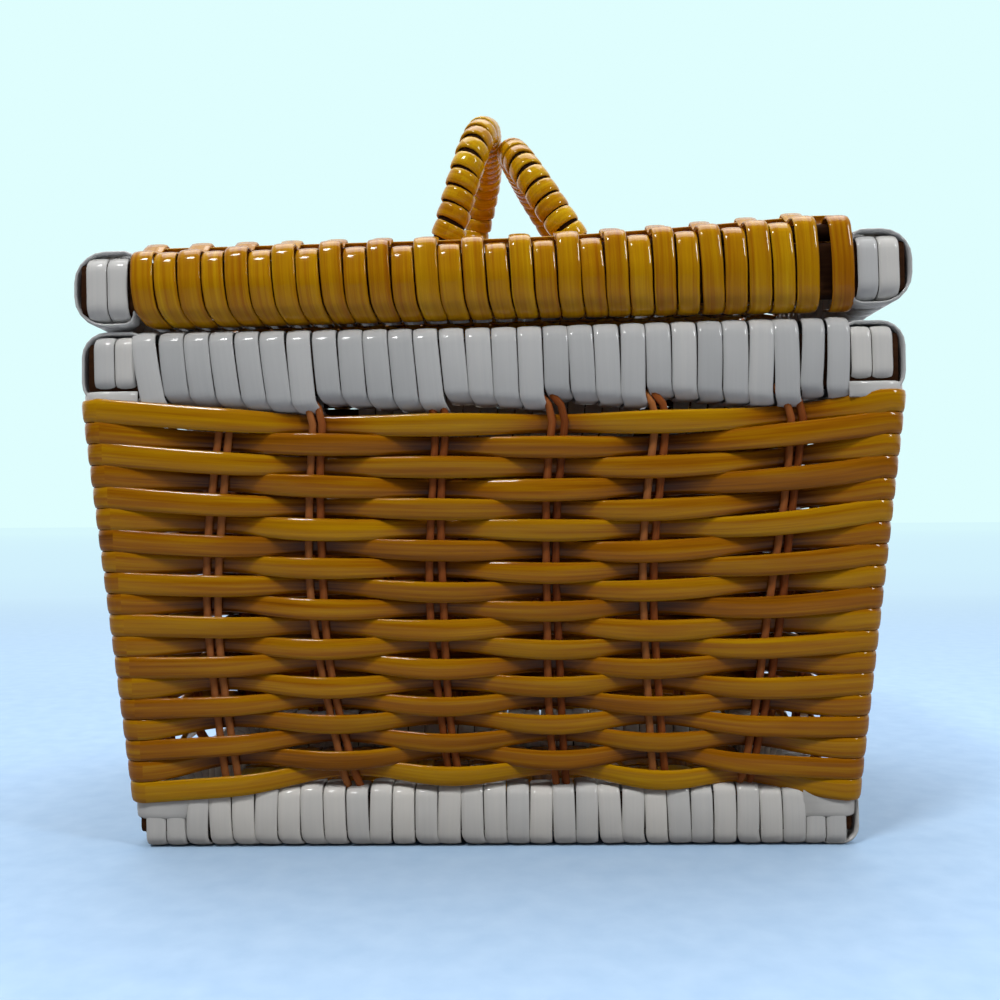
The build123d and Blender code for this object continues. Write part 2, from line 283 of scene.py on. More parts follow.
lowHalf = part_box("base_core")[1].xy + Vector((1, 1)) * wall["overhang"] - inset
slope = (topHalf.x - lowHalf.x) / wallHeight
stakeCounts = {"front": 6, "right": 3, "back": 6, "left": 3}

# How far each stake stands aside at its top, middle and foot, in millimetres
frontSway = [
    (6, -2.6, -2), (0, -3.7, 2.7), (2.2, -0.9, 3.1),
    (2.6, 0.8, 4.4), (-0.8, -2.1, 3.4), (4.5, 3.1, -1.4),
]
otherSway = (0.8, -0.8, 0.8)


def rowLevel(row, share):
    bend = abs(share) ** wall["fan"]
    top = rimLow + mix(wall["topMid"], wall["topCorner"], bend)
    low = baseTop + mix(wall["lowMid"], wall["lowCorner"], bend)
    return mix(top, low, (row + 0.5) / wall["rows"])


def frontSag(row, share):
    t = ((row + 0.5) / wall["rows"] - wall["sagLevel"]) / (1 - wall["sagLevel"])
    return wall["sag"] * (1 - t ** 2) * (1 - abs(share) ** wall["fan"]) * (1 + wall["sagRight"] * share)


def wallHalf(height):
    return mix(lowHalf, topHalf, (height - baseTop) / wallHeight)


def sideHalf(side, height):
    half = wallHalf(height)
    return (half.x, half.y) if side in longSides else (half.y, half.x)


def stakePlace(side, index, height):
    count = stakeCounts[side]
    share = (2 * index + 1 - count) / (count + 1)
    t = (height - baseTop) / wallHeight
    top, middle, low = frontSway[index] if side == "front" else otherSway
    sway = low * (1 - t) * (1 - 2 * t) + 4 * middle * t * (1 - t) + top * t * (2 * t - 1)
    return share * sideHalf(side, height)[0] + sway * mm


# Where a row passes outside (1) or inside (-1) the stakes of a side; it is outside at the corners
def rowMarks(side, row, end, before):
    marks = [(-end, 1)]
    for index in range(stakeCounts[side]):
        outside = (before + index + row) % 2 == 0
        marks.append((stakePlace(side, index, rowLevel(row, 0.4)), 1 if outside else -1))
    return marks + [(end, 1)]


def cornerStations(side, row):
    along, outward = sides[side]
    height, bend = rowLevel(row, 1), wall["corner"]
    run, out = sideHalf(side, height)
    centre = along * (run + wall["reach"] - bend) + outward * (out + wall["reach"] - bend) + up * height
    stations = []
    for k in range(6):
        angle = math.radians(15 * k)
        way = outward * math.cos(angle) + along * math.sin(angle)
        across = (way * slope + up).normalized() * wall["broad"]
        stations.append((centre + way * bend, (way - up * slope).normalized(), across))
    return stations


# Full width over a stake, narrow where it dips behind one, and darkened there with painted shade
def rowStations(row):
    stations, paintedShades, before = [], [], 0
    rowShare = row / lowest
    middleSpan = rowLevel(0, 0) - rowLevel(lowest, 0)
    weaveDrop = wall["weaveDrop"] * mix(wall["topDrop"], 1, rowShare ** 1.5)
    rowWidth = mix(wall["upper"], wall["lower"], rowShare)
    for side, (along, outward) in sides.items():
        ripple, twist = dice.uniform(0, 6), dice.uniform(0, 6)
        end = sideHalf(side, rowLevel(row, 0.5))[0] + wall["reach"] - wall["corner"]
        marks = rowMarks(side, row, end, before)
        before += stakeCounts[side]
        across, face = (outward * slope + up).normalized(), (outward - up * slope).normalized()
        count, spot = int(2 * end / wall["step"]), 0
        for k in range(count):
            c = mix(-end, end, k / count)
            share = c / end
            while c > marks[spot + 1][0]:
                spot += 1
            (a, fromOut), (b, toOut) = marks[spot], marks[spot + 1]
            swing = mix(fromOut, toOut, (1 - math.cos(math.pi * (c - a) / (b - a))) / 2)
            calm = 1 - abs(share) ** 6
            height = rowLevel(row, share) + calm * wall["ripple"] * math.sin(c / wall["rippleLong"] + ripple)
            fan = mix(1, (rowLevel(0, share) - rowLevel(lowest, share)) / middleSpan, wall["fanWidth"])
            width = fan * mix(wall["narrow"], wall["broad"], (swing + 1) / 2) * rowWidth
            if side == "front":
                height -= frontSag(row, share) + calm * swing * weaveDrop
            elif side == "back":
                height -= calm * wall["backDrop"] if row == lowest else 0
                width = fan * (wall["backHem"] if row == lowest else wall["backBroad"])
            run, out = sideHalf(side, height)
            place = along * (share * (run + wall["reach"] - wall["corner"]))
            place += outward * (out + swing * wall["reach"]) + up * height
            turn = calm * wall["twist"] * math.sin(c / wall["twistLong"] + twist)
            stations.append((place, face + across * turn, (across - face * turn) * width))
            # Painted shade: the tone darkens where the row dips inside, behind a stake
            paintedShades.append(wall["dipPaintedShade"] * ((1 - swing) / 2) ** 4)
        corner = cornerStations(side, row)
        stations += corner
        paintedShades += [0.0] * len(corner)
    return stations, paintedShades


rows = newStrips()
for row in range(wall["rows"]):
    width = wall["width"] + dice.uniform(-0.2, 0.1) * mm
    stations, paintedShades = rowStations(row)
    layStrip(rows, stations, flatSection(width, wall["thickness"]), dice.uniform(0.5, 0.7), True, paintedShades)
finishStrips(rows, "woven_rows", ochrePeel, "basket", "ochre_peel", "woven_wall")
print("rows laid")

# Stakes: pairs of thin stained rods that the rows pass, bent over to the left under the rim
rods = {
    "radius": 1.05 * mm, "spread": 1.5 * mm, "intoBase": 6 * mm, "intoRim": 3.6 * mm, "steps": 26,
    "bendBelow": 2.5 * mm, "frontBend": 0.9, "otherBend": 0.2, "wander": 0.35 * mm, "wanderLong": 11 * mm,
    "tuck": 4 * mm, "rimTuck": 3 * mm,
}


# A rod's foot is tucked in behind the base turns, and the first one's head behind the rim turns
def rodPoints(side, index, hand, sway):
    along, outward = sides[side]
    bend = rods["frontBend"] if side == "front" else rods["otherBend"]
    points = []
    for k in range(rods["steps"] + 1):
        height = mix(baseTop - rods["intoBase"], rimLow + rods["intoRim"], k / rods["steps"])
        lean = min(0, rimLow - rods["bendBelow"] - height) * bend
        c = stakePlace(side, index, height) + hand * rods["spread"] + lean
        c += rods["wander"] * math.sin(height / rods["wanderLong"] + sway)
        tuck = clamp((baseTop + mm - height) / rods["tuck"]) * rods["tuck"]
        if (side, index) == ("front", 0):
            tuck += clamp((height - rimLow) / rods["rimTuck"] + 1) * rods["tuck"]
        points.append(along * c + outward * (sideHalf(side, height)[1] - tuck) + up * height)
    return points


for side, (along, outward) in sides.items():
    pairs = newStrips()
    for index in range(stakeCounts[side]):
        for hand in (-1, 1):
            points = rodPoints(side, index, hand, dice.uniform(0, 6))
            stations = framesAlong(points, outward)
            layStrip(pairs, stations, roundSection(rods["radius"]), dice.uniform(0.25, 0.8), False)
    finishStrips(pairs, "stake_rods_" + side, stainedRod, "basket", "brown_stake", "stakes_" + side)

# Corner posts: one rod inside each corner of the wall
posts = {"radius": 2.3 * mm, "inset": 2.2 * mm, "below": 2 * mm, "above": 1 * mm}
for depth, signY in (("front", -1), ("back", 1)):
    for hand, signX in (("left", -1), ("right", 1)):
        post, points = newStrips(), []
        for height in (baseTop - posts["below"], rimLow + posts["above"]):
            half = wallHalf(height) - Vector((1, 1)) * posts["inset"]
            points.append(Vector((half.x * signX, half.y * signY, height)))
        stations = framesAlong(points, Vector((1, 0, 0)))
        layStrip(post, stations, roundSection(posts["radius"], 12), 0.4, False)
        name = "_".join(("corner", "post", depth, hand))
        finishStrips(post, name + "_rod", stainedRod, "basket", "brown_stake", name)
print("stakes set")


# A quarter round as (outward place, height, angle)
def quarterRound(out, height, radius, first, count):
    angles = [math.radians(first + 90 * k / (count - 1)) for k in range(count)]
    return [(out + radius * math.cos(angle), height + radius * math.sin(angle), angle) for angle in angles]


innerRound = 2.2 * mm


# One turn round a bar, from the bottom round the front: 6 places to its face, 3 up it, 6 to its top, 6 behind
def turnOutline(out, inner, low, high, radii, bulge=0.0):
    lowRound, topRound = radii
    outline = quarterRound(out - lowRound, low + lowRound, lowRound, -90, 6)
    for k in range(1, 4):
        height = mix(low + lowRound, high - topRound, k / 4)
        outline.append((out + bulge * math.sin(math.pi * k / 4), height, 0.0))
    outline += quarterRound(out - topRound, high - topRound, topRound, 0, 6)
    outline += quarterRound(inner + innerRound, high - innerRound, innerRound, 90, 3)
    outline += quarterRound(inner + innerRound, low + innerRound, innerRound, 180, 3)
    return outline


# The lean grows round the lower edge, where a wound strip crosses to its next turn
def turnStations(side, c, lean, outline, cross=0.0):
    along, outward = sides[side]
    middle = sum(height for out, height, angle in outline) / len(outline)
    stations = []
    for out, height, angle in outline:
        under = max(0.0, -math.sin(angle))
        place = along * (c + lean * (height - middle) + cross * under ** 2) + outward * out + up * height
        face = outward * math.cos(angle) + up * math.sin(angle)
        across = (along - up * (lean * math.cos(angle))).normalized()
        stations.append((place, face, across))
    return stations


# Wound frames: turns side by side, each with its own width, lean and tone; the lid's long bars come later
bars = {
    "base": {
        "turns": 27, "sideTurns": 18, "deep": 10 * mm, "paintedBounceLight": 0.45,
        "radii": (3 * mm, 2.4 * mm), "endRound": 2.4 * mm, "sideRound": 4 * mm, "coreShrink": 5.4 * mm,
    },
    "rim": {
        "turns": 28, "sideTurns": 22, "deep": 11 * mm, "paintedBounceLight": 0.0,
        "radii": (3 * mm, 4 * mm), "endRound": 2.6 * mm, "sideRound": 6 * mm, "coreShrink": 4.6 * mm,
    },
    "lid": {
        "sideTurns": 22, "deep": 11 * mm, "paintedBounceLight": 0.0,
        "radii": (5.5 * mm, 4.5 * mm), "endRound": 3.6 * mm, "sideRound": 7.5 * mm, "coreShrink": 4.6 * mm,
    },
}
strip = 0.95 * mm
longBulge, sideLean, endLean = 0.4 * mm, 0.02, -0.02
baseTurns = {"lean": -0.02, "stray": 0.06, "lifts": (-0.7 * mm, 0.5 * mm), "crosses": (0, 1.5 * mm)}
endZone = {
    "bare": 4.0 * mm, "pitch": 5.6 * mm, "lower": 1.5 * mm, "band": 4.2 * mm, "set": 0.3 * mm, "full": 0.97,
    "frame": 4.0 * mm, "sideGap": 0.6 * mm,
}
hingeGaps = [(-67 * mm, -57 * mm), (57 * mm, 67 * mm)]

# The rim's turns lean less and rise towards the right; their lower ends step down between the stakes
rimTurns = {
    "leans": (-0.15, 0.03), "stray": 0.03, "rise": 1.3 * mm, "riseOver": 95 * mm,
    "drop": 3.2 * mm, "held": 0.8 * mm, "cross": 1.2 * mm,
    "steps": [-110 * mm, -88 * mm, -50.5 * mm, -16.8 * mm, 16.3 * mm, 43.8 * mm, 80 * mm, 112 * mm],
}


def barFaces(name, side):
    low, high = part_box(name + "_core")
    alongHalf, out = (high.x, high.y) if side in longSides else (high.y, high.x)
    return alongHalf, out, out - bars[name]["deep"], low.z, high.z


def turnRun(name, side):
    alongHalf = barFaces(name, side)[0]
    if side in longSides:
        return alongHalf + strip - endZone["bare"] - 2 * endZone["pitch"]
    return alongHalf - endZone["sideGap"]


def sawtooth(c):
    for start, end in zip(rimTurns["steps"], rimTurns["steps"][1:]):
        if start <= c < end:
            return (c - start) / (end - start)
    return 0.0


# The front bar of the lid thickens towards its right end
thickening = {"most": 3.7 * mm, "over": 86 * mm, "power": 1.6}


def swell(c):
    return thickening["most"] * clamp(c / thickening["over"]) ** thickening["power"]


def inGap(c):
    return any(a < c < b for a, b in hingeGaps)


def layTurns(name, side, body):
    bar, turns, isLong = bars[name], newStrips(), side in longSides
    out, inner, low, high = barFaces(name, side)[1:]
    run, count = turnRun(name, side), bar["turns" if isLong else "sideTurns"]
    pitch, bulge = 2 * run / count, longBulge if isLong else 0.0
    radii = bar["radii"] if isLong else (bar["sideRound"], bar["sideRound"])
    for k in range(count):
        c = -run + (k + 0.5) * pitch
        lean = baseTurns["lean"] + dice.uniform(-1, 1) * baseTurns["stray"]
        drop, lift, cross, deeper = 0.0, 0.0, 0.0, 0.0
        if not isLong:
            lean = dice.uniform(-sideLean, sideLean)
            deeper = endZone["frame"] if k in (0, count - 1) and name != "base" else 0.0
        elif name == "rim":
            lean = mix(*rimTurns["leans"], k / (count - 1)) + dice.uniform(-1, 1) * rimTurns["stray"]
            cross = rimTurns["cross"]
            if side == "front":
                lift = clamp(c / rimTurns["riseOver"]) * rimTurns["rise"]
                drop = sawtooth(c) * rimTurns["drop"] - rimTurns["held"]
        else:
            lift = dice.uniform(*baseTurns["lifts"])
            cross = dice.uniform(*baseTurns["crosses"])
        bareEnd = (name, side, k) == ("base", "left", count - 1)
        atHinge = (name, side) == ("rim", "back") and inGap(c)
        if bareEnd or atHinge:
            continue
        outline = turnOutline(out, inner - deeper, low - drop, high + lift, radii, bulge)
        width = pitch * (dice.uniform(0.94, 0.99) if name == "base" or k < count - 2 else 0.88)
        # Painted light: the base's turns are made paler, standing in for the light thrown up on them from the
        # floor
        tone = dice.uniform(0.2, 0.55) + bar["paintedBounceLight"]
        layStrip(turns, turnStations(side, c, lean, outline, cross), flatSection(width, strip), tone)
    finishStrips(turns, name + "_turns_" + side, whitePeel, body, "white_peel", name + "_wrap_" + side)


# Two smaller turns at each end of a long bar; the corner band passes under the rim's and over the base's
def layEndTurns(ends, name, side):
    out, inner, low, high = barFaces(name, side)[1:]
    under = {"base": 0.0, "rim": endZone["band"], "lid": endZone["lower"]}[name]
    over = endZone["band"] if name == "base" else endZone["lower"]
    radii = (bars[name]["endRound"], bars[name]["endRound"])
    outline = turnOutline(out - endZone["set"], inner + endZone["set"], low + under, high - over, radii)
    section = flatSection(endZone["pitch"] * endZone["full"], strip)
    for hand in (-1, 1):
        for k in range(2):
            c = hand * (turnRun(name, side) + (k + 0.5) * endZone["pitch"])
            layStrip(ends, turnStations(side, c, endLean, outline), section, dice.uniform(0.5, 0.9))


def barSection(depth, height, radius):
    section = []
    for k in range(16):
        angle = math.radians(22.5 * k + 11.25)
        a = math.copysign(height / 2 - radius, math.sin(angle)) + radius * math.sin(angle)
        o = math.copysign(depth / 2 - radius, math.cos(angle)) + radius * math.cos(angle)
        section.append((a, o))
    return section


# Rods inside a bar: one filled bar, and single rods at the hinge, where the ties go round them
cores = {
    "round": 2.4 * mm, "slack": 1.2 * mm, "longGap": 1.5 * mm, "sideGap": 12 * mm,
    "raisedRod": 2.3 * mm, "raisedBehind": 5 * mm, "raisedUnder": 2.6 * mm, "hingeRod": 3 * mm,
}


def layCore(core, name, side):
    along, outward = sides[side]
    alongHalf, out, inner, low, high = barFaces(name, side)
    reach = alongHalf - cores["longGap" if side in longSides else "sideGap"]
    middle = outward * ((out + inner) / 2) + up * ((low + high) / 2)
    stations = [(middle + along * c, outward, up) for c in (-reach, reach)]
    section = barSection(out - inner - cores["slack"], high - low - bars[name]["coreShrink"], cores["round"])
    layStrip(core, stations, section, 0.5, False)
    if (name, side) == ("lid", "front"):
        y, top = cores["raisedBehind"] - out, high - cores["raisedUnder"]
        points = [Vector((x * mm, y, top + swell(x * mm))) for x in range(0, 97, 4)]
        layStrip(core, framesAlong(points, up), roundSection(cores["raisedRod"]), 0.3, False)


def layHingeRods(core, name):
    along, outward = sides["back"]
    alongHalf, out, inner, low, high = barFaces(name, "back")
    reach, radius = alongHalf - cores["longGap"], cores["hingeRod"]
    hingeLevel = low + radius if name == "lid" else high - radius
    farLevel = high - 4.2 * mm if name == "lid" else low + 4.2 * mm
    rodPlaces = [  # outward place, height, radius
        (out - radius, hingeLevel, radius),
        (out - 3.6 * mm, farLevel, 3.4 * mm),
        (inner + 2.2 * mm, low + 4 * mm, 2.1 * mm),
        (inner + 2.2 * mm, high - 4 * mm, 2.1 * mm),
        (inner + 2.6 * mm, (low + high) / 2, 2.5 * mm),
    ]
    for rodOut, level, thick in rodPlaces:
        stations = [(outward * rodOut + up * level + along * c, outward, up) for c in (-reach, reach)]
        layStrip(core, stations, roundSection(thick, 14), dice.uniform(0.3, 0.7), False)


for name in bars:
    body = "lid" if name == "lid" else "basket"
    ends, core = newStrips(), newStrips()
    for side in sides:
        if name != "lid" or side not in longSides:
            layTurns(name, side, body)
        if side in longSides:
            layEndTurns(ends, name, side)
        if side == "back" and name != "base":
            layHingeRods(core, name)
        else:
            layCore(core, name, side)
    finishStrips(ends, name + "_end_turns", whitePeel, body, "white_peel", name + "_end_wraps")
    finishStrips(core, name + "_rods", rattanCore, body, "rattan_core", name + "_core")
print("frames wound")

# Corner bands: strip laid flat round each corner, under the rim's end turns and over the base's
bands = {
    "rimLevel": 1.1 * mm, "rimWidth": 4.2 * mm, "baseLevel": -4.0 * mm, "baseWidth": 7.6 * mm,
    "bend": 5 * mm, "tail": 10 * mm, "sideTail": 6 * mm, "proud": 0.1 * mm, "thickness": 0.8 * mm,
}
for name in ("rim", "base"):
    flats = newStrips()
    alongHalf, out, inner, low, high = barFaces(name, "front")
    height = (low if name == "rim" else high) + bands[name + "Level"]
    bend, edge = bands["bend"], bands["proud"] - bands["bend"]
    for signX in (-1, 1):
        for signY in (-1, 1):
            centre = Vector((signX * (alongHalf + edge), signY * (out + edge), height))
            frontWay, sideWay = Vector((0, signY, 0)), Vector((signX, 0, 0))
            stations = [(centre - sideWay * bands["tail"] + frontWay * bend, frontWay, up)]
            for k in range(7):
                angle = math.radians(15 * k)
                way = frontWay * math.cos(angle) + sideWay * math.sin(angle)
                stations.append((centre + way * bend, way, up))
            stations.append((centre - frontWay * bands["sideTail"] + sideWay * bend, sideWay, up))
            section = flatSection(bands[name + "Width"], bands["thickness"])
            layStrip(flats, stations, section, dice.uniform(0.5, 0.9), False)
    finishStrips(flats, name + "_bands", whitePeel, "basket", "white_peel", name + "_corner_bands")
print("corners bound")

# Lid weave: warps wound round the front bar, over the top and round the back bar, with wefts across;
# every second warp climbs over a raised weft behind the front bar
weave = {
    "warps": 30, "left": -95.8 * mm, "right": 95.9 * mm, "lastGap": 2.9 * mm, "wefts": 16, "first": 50 * mm,
    "leans": (-0.1, -0.03), "crosses": (2.0 * mm, 0.3 * mm), "bulge": 0.8 * mm, "lowSwell": 0.25,
    "lift": 0.6 * mm, "moreLift": 1.5 * mm, "liftEnds": 0.35, "backLift": 0.2 * mm,
    "sink": 1.6 * mm, "sinkFrom": 58 * mm, "sinkOver": 8 * mm, "rise": 0.7 * mm, "thickness": 0.8 * mm,
    "edge": 57 * mm, "edgeReach": 10.5 * mm, "overEdge": 8 * mm, "frontRise": 3.2 * mm, "backRise": 1.2 * mm,
    "swellFrom": 45 * mm, "swellOver": 12 * mm, "leave": 5.0 * mm, "arrive": 5.5 * mm,
    "settle": 4 * mm, "calm": 6 * mm, "tuck": 11 * mm, "tuckDrop": 2 * mm, "weftRise": 0.85, "full": 0.97,
    "above": 0.1 * mm, "frontPlaces": 14, "backPlaces": 15,  # places of a turn, up to its top
}
lidOut, lidInner, lidLow, lidTop = barFaces("lid", "front")[1:]
lidRadii = bars["lid"]["radii"]
underBar = (lidInner + mm, lidLow, math.radians(-90))
warpPitch = (weave["right"] - weave["left"] - weave["lastGap"]) / weave["warps"]
weftPitch = 2 * weave["first"] / (weave["wefts"] - 1)


def lidLevel(y):
    sink = weave["sink"] * smooth((weave["sinkFrom"] - abs(y)) / weave["sinkOver"])
    return lidTop + weave["above"] - sink


def edgeRise(y):
    rise = weave["frontRise"] if y < 0 else weave["backRise"]
    return rise * smooth(1 - abs(abs(y) - weave["edge"]) / weave["edgeReach"])


# Raised warps stand highest between a third and two thirds of the way across
def warpLift(share):
    ends = weave["liftEnds"]
    grown, eased = smooth(share / ends), mix(1, ends, clamp((share - 1 + ends) / ends))
    return weave["lift"] + weave["moreLift"] * grown * eased


def topPoints(x, c, lift, raised):
    start, stop = weave["leave"] - lidOut, lidOut - weave["arrive"]
    points = []
    for n in range(65):
        y = mix(start, stop, n / 64)
        wave = math.cos(math.pi * (y + weave["first"]) / weftPitch) * (-1 if raised else 1)
        level = lidLevel(y) + clamp((y - start) / weave["calm"]) * wave * weave["rise"]
        if raised:
            level += swell(c) * smooth((-weave["swellFrom"] - y) / weave["swellOver"]) + edgeRise(y)
            level += weave["thickness"] * smooth(1 - abs(y + weave["edge"]) / weave["overEdge"])
        points.append(Vector((x, y, mix(lidTop + lift, level, clamp((y - start) / weave["settle"])))))
    return points


warps = newStrips()
for k in range(weave["warps"]):
    last, raised = k == weave["warps"] - 1, k % 2 == 0
    c = weave["left"] + (k + 0.5) * warpPitch + (weave["lastGap"] if last else 0)
    share = k / (weave["warps"] - 1)
    lean = mix(*weave["leans"], share) + dice.uniform(-0.02, 0.02)
    lift = swell(c) + dice.uniform(-0.4, -0.1) * mm
    if raised or last:
        lift += warpLift(share)
    low = lidLow - weave["lowSwell"] * swell(c)
    front = turnOutline(lidOut, lidInner, low, lidTop + lift, lidRadii, weave["bulge"])
    front = [underBar] + front[:weave["frontPlaces"]]
    stations = turnStations("front", c, lean, front, mix(*weave["crosses"], share))
    x = stations[-1][0].x
    stations += framesAlong(topPoints(x, c, lift, raised), up)
    if not inGap(x):
        back = turnOutline(lidOut, lidInner, lidLow, lidTop + weave["backLift"], lidRadii)
        back = [underBar] + back[:weave["backPlaces"]]
        stations += turnStations("back", -x, 0.0, back)[::-1]
    stations = [(place, face, across if across.x > 0 else -across) for place, face, across in stations]
    tone = 0.56 if last else dice.uniform(0.62, 0.7)
    layStrip(warps, stations, flatSection(warpPitch * dice.uniform(0.9, 0.97), strip), tone, False)
finishStrips(warps, "lid_warps", ochrePeel, "lid", "ochre_peel", "lid_wrap_front", "lid_wrap_back")

wefts = newStrips()
edgePlaces = [-weave["edge"], weave["edge"]]
weftPlaces = [mix(-weave["first"], weave["first"], j / (weave["wefts"] - 1)) for j in range(weave["wefts"])]
for y in weftPlaces + edgePlaces:
    stations, half = [], weave["right"] + weave["tuck"]
    order = round((y + weave["first"]) / weftPitch)
    for n in range(125):
        x = mix(-half, half, n / 124)
        wave = math.cos(math.pi * ((x - weave["left"]) / warpPitch - 0.5)) * (1 if order % 2 == 0 else -1)
        fade = clamp((weave["right"] - abs(x)) / weave["calm"] + 1)
        rise = wave * weave["rise"] * weave["weftRise"]
        if y in edgePlaces:
            rise = edgeRise(y) + (swell(x) if y < 0 else 0)
        level = lidLevel(y) + rise * fade - (1 - fade) * weave["tuckDrop"]
        stations.append((Vector((x, y, level)), up.copy(), Vector((0, 1, 0))))
    section = flatSection(weftPitch * weave["full"], weave["thickness"])
    layStrip(wefts, stations, section, dice.uniform(0.45, 0.7), False)
finishStrips(wefts, "lid_wefts", ochrePeel, "lid", "ochre_peel", "lid_panel")
print("lid woven")

# Base weave: broad strips across and along, on the floor of the basket
floorWeave = {"pitch": 11 * mm, "rise": 0.7 * mm, "thickness": 0.8 * mm, "full": 0.93}
low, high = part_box("base_panel")
size, level = high - low, (low.z + high.z) / 2
floorStrips = newStrips()
for axis, other, sign in ((0, 1, 1), (1, 0, -1)):
    count = round(size[other] / floorWeave["pitch"])
    pitch, crossPitch = size[other] / count, size[axis] / round(size[axis] / floorWeave["pitch"])
    across = Vector((0, 0, 0))
    across[other] = 1
    for j in range(count):
        stations = []
        for n in range(81):
            place = Vector((0, 0, 0))
            place[axis] = mix(low[axis], high[axis], n / 80)
            place[other] = low[other] + (j + 0.5) * pitch
            wave = math.cos(math.pi * ((place[axis] - low[axis]) / crossPitch - 0.5))
            place.z = level + wave * (sign if j % 2 == 0 else -sign) * floorWeave["rise"]
            stations.append((place, up.copy(), across))
        section = flatSection(pitch * floorWeave["full"], floorWeave["thickness"])
        layStrip(floorStrips, stations, section, dice.uniform(0.35, 0.8), False)
finishStrips(floorStrips, "base_weave", ochrePeel, "basket", "ochre_peel", "base_panel")

# Hinge ties: loops of strip round the lid's lower back rod and the rim's upper back rod
hingeTie = {"inner": 3.1 * mm, "thickness": 0.8 * mm, "width": 6 * mm}
rimHigh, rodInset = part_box("rim_core")[1], cores["hingeRod"]
upper = Vector((0, lidOut - rodInset, lidLow + rodInset))
lower = Vector((0, rimHigh.y - rodInset, rimHigh.z - rodInset))
axisWay = (upper - lower).normalized()
sideWay = Vector((0, axisWay.z, -axisWay.y))
for hand in ("left", "right"):
    node = "hinge_tie_" + hand
    low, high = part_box(node)
    middle = Vector(((low.x + high.x) / 2, 0, 0))
    loop, stations = newStrips(), []
    for centre, start in ((upper, 0), (lower, 180)):
        for k in range(13):
            angle = math.radians(start + 15 * k)
            way = sideWay * math.cos(angle) + axisWay * math.sin(angle)
            stations.append((centre + way * hingeTie["inner"] + middle, way, Vector((1, 0, 0))))
    layStrip(loop, stations, flatSection(hingeTie["width"], hingeTie["thickness"]), 0.6)
    finishStrips(loop, node + "_strip", ochrePeel, "basket", "ochre_peel", node)
print("base woven and hinge tied")

# Handles: a rod bent to a loop, wound with narrow strip and tied down at its foot
handles = {
    "pitch": 5.1 * mm, "thickness": 1.0 * mm, "core": 4.0 * mm, "proud": 0.2 * mm, "span": 38 * mm,
    "height": 46.5 * mm, "foot": 10 * mm, "top": 24 * mm,
    "tieAside": 17 * mm, "tieRound": 5.5 * mm, "tieLegs": (-5.1 * mm, -2.5 * mm), "tieWidth": 6 * mm,
    "tieThickness": 0.9 * mm,
}
handleLeans = {"left_handle": (16.0, -0.16), "right_handle": (-32.52, 0.03)}  # degrees, tilt of the turns


def loopOutline():
    foot, top = handles["foot"], handles["top"]
    bends = [(1, 0, foot, -90), (1, 1, top, 0), (-1, 1, top, 90), (-1, 0, foot, 180)]
    corners = []
    for hand, high, radius, start in bends:
        y = hand * (handles["span"] - radius)
        z = handles["height"] - radius if high else radius
        for k in range(13):
            angle = math.radians(start + 7.5 * k)
            corners.append((y + radius * math.cos(angle), z + radius * math.sin(angle)))
    return corners


# Place and direction at a length along the closed loop
def alongLoop(corners, runs, length):
    k = max(n for n, run in enumerate(runs[:-1]) if run <= length)
    here, there = corners[k], corners[(k + 1) % len(corners)]
    return here.lerp(there, (length - runs[k]) / (runs[k + 1] - runs[k])), (there - here).normalized()


for node, (lean, tilt) in handleLeans.items():
    joint = [j for j in frame["joints"] if j["child"] == node][0]
    seat, foot = Vector(joint["pos_m"]), Vector(joint["axis"]) * math.copysign(1, joint["axis"][1])
    aside = foot.cross(up).normalized()
    rise = aside * math.sin(math.radians(lean)) + up * math.cos(math.radians(lean))
    face = foot.cross(rise).normalized()
    corners = [seat + foot * y + rise * z for y, z in loopOutline()]
    runs = [0.0]
    for a, b in zip(corners, corners[1:] + corners[:1]):
        runs.append(runs[-1] + (b - a).length)
    rod, turns, ties = newStrips(), newStrips(), newStrips()
    stations = []
    for k in range(150):
        place, ahead = alongLoop(corners, runs, runs[-1] * k / 150)
        stations.append((place, face, ahead.cross(face).normalized()))
    layStrip(rod, stations, roundSection(handles["core"] + handles["proud"], 12), 0.2)
    finishStrips(rod, node + "_rod", rattanCore, node, "rattan_core", node)
    count = round(runs[-1] / handles["pitch"])
    for n in range(count):
        place, ahead = alongLoop(corners, runs, (n + 0.5) * runs[-1] / count)
        first = ahead.cross(face).normalized()
        tilted = (ahead + face * tilt).normalized()
        second = tilted.cross(first).normalized()
        stations = []
        for k in range(20):
            way = first * math.cos(k * math.tau / 20) + second * math.sin(k * math.tau / 20)
            stations.append((place + way * handles["core"], way, tilted))
        section = flatSection(handles["pitch"] * dice.uniform(0.88, 0.95), handles["thickness"])
        layStrip(turns, stations, section, dice.uniform(0.68, 0.86))
    finishStrips(turns, node + "_turns", ochrePeel, node, "ochre_peel", node)
    for y in (-handles["tieAside"], handles["tieAside"]):
        centre, radius = seat + foot * y, handles["tieRound"]
        stations = [(centre - aside * radius + up * z, -aside, foot) for z in handles["tieLegs"]]
        for k in range(13):
            angle = math.radians(180 - 15 * k)
            way = aside * math.cos(angle) + up * math.sin(angle)
            stations.append((centre + way * radius, way, foot))
        stations += [(centre + aside * radius + up * z, aside, foot) for z in handles["tieLegs"][::-1]]
        section = flatSection(handles["tieWidth"], handles["tieThickness"])
        layStrip(ties, stations, section, dice.uniform(0.3, 0.7), False)
    finishStrips(ties, node + "_tie_strips", ochrePeel, "lid", "ochre_peel", node + "_ties")
print("handles wound")

